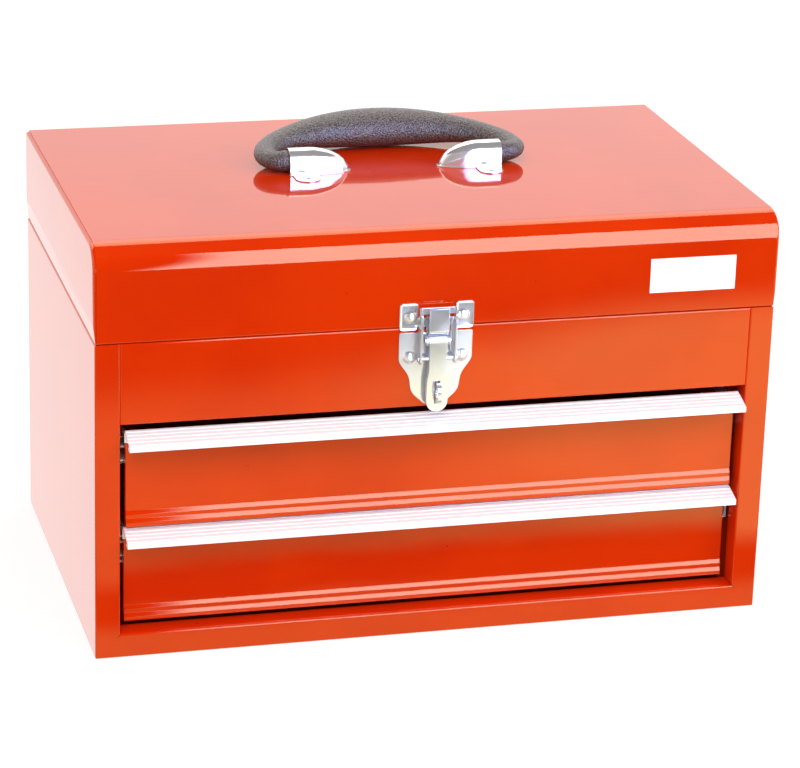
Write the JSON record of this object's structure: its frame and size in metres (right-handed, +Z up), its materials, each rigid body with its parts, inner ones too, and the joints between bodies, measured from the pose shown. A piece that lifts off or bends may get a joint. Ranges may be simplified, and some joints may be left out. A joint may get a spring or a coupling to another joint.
{
  "type": "portable tool box",
  "caption": "Portable steel tool box: a hinged lid with a folding handle and a draw latch over an open compartment, and drawers on ball slides below it.",
  "frame": {"origin": "middle of the cabinet's base, on the surface it stands on", "axes": "+X to the box's right seen from the front, -Y to the front with the latch and drawer pulls, +Z up"},
  "size_m": [0.41, 0.2679, 0.2756],
  "materials": {
    "red_enamel": "glossy orange-red enamel over steel sheet",
    "zinc_steel": "zinc plated",
    "nickel_plate": "bright nickel plate",
    "pull_aluminium": "satin anodised",
    "handle_plastic": "fine leather grain",
    "label_plastic": "smooth",
    "cage_steel": "yellow passivated",
    "ball_steel": "polished"
  },
  "bodies": {
    "cabinet": {"cabinet_wrap": "red_enamel", "back_panel": "red_enamel", "upper_front_panel": "red_enamel", "compartment_floor": "red_enamel", "left_front_slide_post": "red_enamel", "left_rear_slide_post": "red_enamel", "right_front_slide_post": "red_enamel", "right_rear_slide_post": "red_enamel", "upper_left_outer_rail": "zinc_steel", "upper_right_outer_rail": "zinc_steel", "lower_left_outer_rail": "zinc_steel", "lower_right_outer_rail": "zinc_steel", "outer_rail_rivets": "zinc_steel", "latch_base_plate": "nickel_plate", "latch_base_rivets": "nickel_plate", "lever_pin": "nickel_plate", "hinge_lower_leaf": "zinc_steel", "hinge_pin": "zinc_steel", "hinge_lower_rivets": "zinc_steel"},
    "lid": {"lid_shell": "red_enamel", "lid_left_end": "red_enamel", "lid_right_end": "red_enamel", "hinge_upper_leaf": "zinc_steel", "hinge_upper_rivets": "zinc_steel", "latch_keeper": "nickel_plate", "keeper_rivets": "nickel_plate", "left_handle_cap": "nickel_plate", "right_handle_cap": "nickel_plate", "handle_cap_rivets": "nickel_plate", "name_label": "label_plastic"},
    "handle": {"handle_grip": "handle_plastic"},
    "latch_lever": {"latch_lever": "nickel_plate", "bail_pin": "nickel_plate"},
    "latch_bail": {"latch_bail": "nickel_plate"},
    "upper_drawer": {"upper_drawer_tray": "red_enamel", "upper_drawer_front": "red_enamel", "upper_drawer_pull": "pull_aluminium", "upper_left_inner_rail": "zinc_steel", "upper_right_inner_rail": "zinc_steel", "upper_inner_rail_rivets": "zinc_steel"},
    "upper_cages": {"upper_left_ball_cage": "cage_steel", "upper_right_ball_cage": "cage_steel", "upper_slide_balls": "ball_steel"},
    "lower_drawer": {"lower_drawer_tray": "red_enamel", "lower_drawer_front": "red_enamel", "lower_drawer_pull": "pull_aluminium", "lower_left_inner_rail": "zinc_steel", "lower_right_inner_rail": "zinc_steel", "lower_inner_rail_rivets": "zinc_steel"},
    "lower_cages": {"lower_left_ball_cage": "cage_steel", "lower_right_ball_cage": "cage_steel", "lower_slide_balls": "ball_steel"}
  },
  "joints": [
    {"name": "lid_hinge", "type": "hinge", "parent": "cabinet", "child": "lid", "pos_m": [0, 0.12738, 0.19425], "axis": [-1, 0, 0], "range_deg": [0, 105]},
    {"name": "handle_pivot", "type": "hinge", "parent": "lid", "child": "handle", "pos_m": [0.002, 0.004, 0.2595], "axis": [1, 0, 0], "range_deg": [0, 165]},
    {"name": "latch_lever_pivot", "type": "hinge", "parent": "cabinet", "child": "latch_lever", "pos_m": [-0.0045, -0.129, 0.187], "axis": [-1, 0, 0], "range_deg": [0, 90]},
    {"name": "latch_bail_pivot", "type": "hinge", "parent": "latch_lever", "child": "latch_bail", "pos_m": [-0.0045, -0.129, 0.176], "axis": [-1, 0, 0], "range_deg": [-64.8, 0]},
    {"name": "upper_drawer_slide", "type": "slide", "parent": "cabinet", "child": "upper_drawer", "axis": [0, -1, 0], "range_m": [-0.006, 0.1339]},
    {"name": "lower_drawer_slide", "type": "slide", "parent": "cabinet", "child": "lower_drawer", "axis": [0, -1, 0], "range_m": [0, 0.1399]},
    {"name": "upper_cage_slide", "type": "slide", "parent": "cabinet", "child": "upper_cages", "axis": [0, -1, 0], "range_m": [-0.003, 0.06695]},
    {"name": "lower_cage_slide", "type": "slide", "parent": "cabinet", "child": "lower_cages", "axis": [0, -1, 0], "range_m": [0, 0.06995]}
  ],
  "couplings": [
    {"joint": "latch_bail_pivot", "follows": "latch_lever_pivot", "ratio": -0.72},
    {"joint": "upper_cage_slide", "follows": "upper_drawer_slide", "ratio": 0.5},
    {"joint": "lower_cage_slide", "follows": "lower_drawer_slide", "ratio": 0.5}
  ]
}
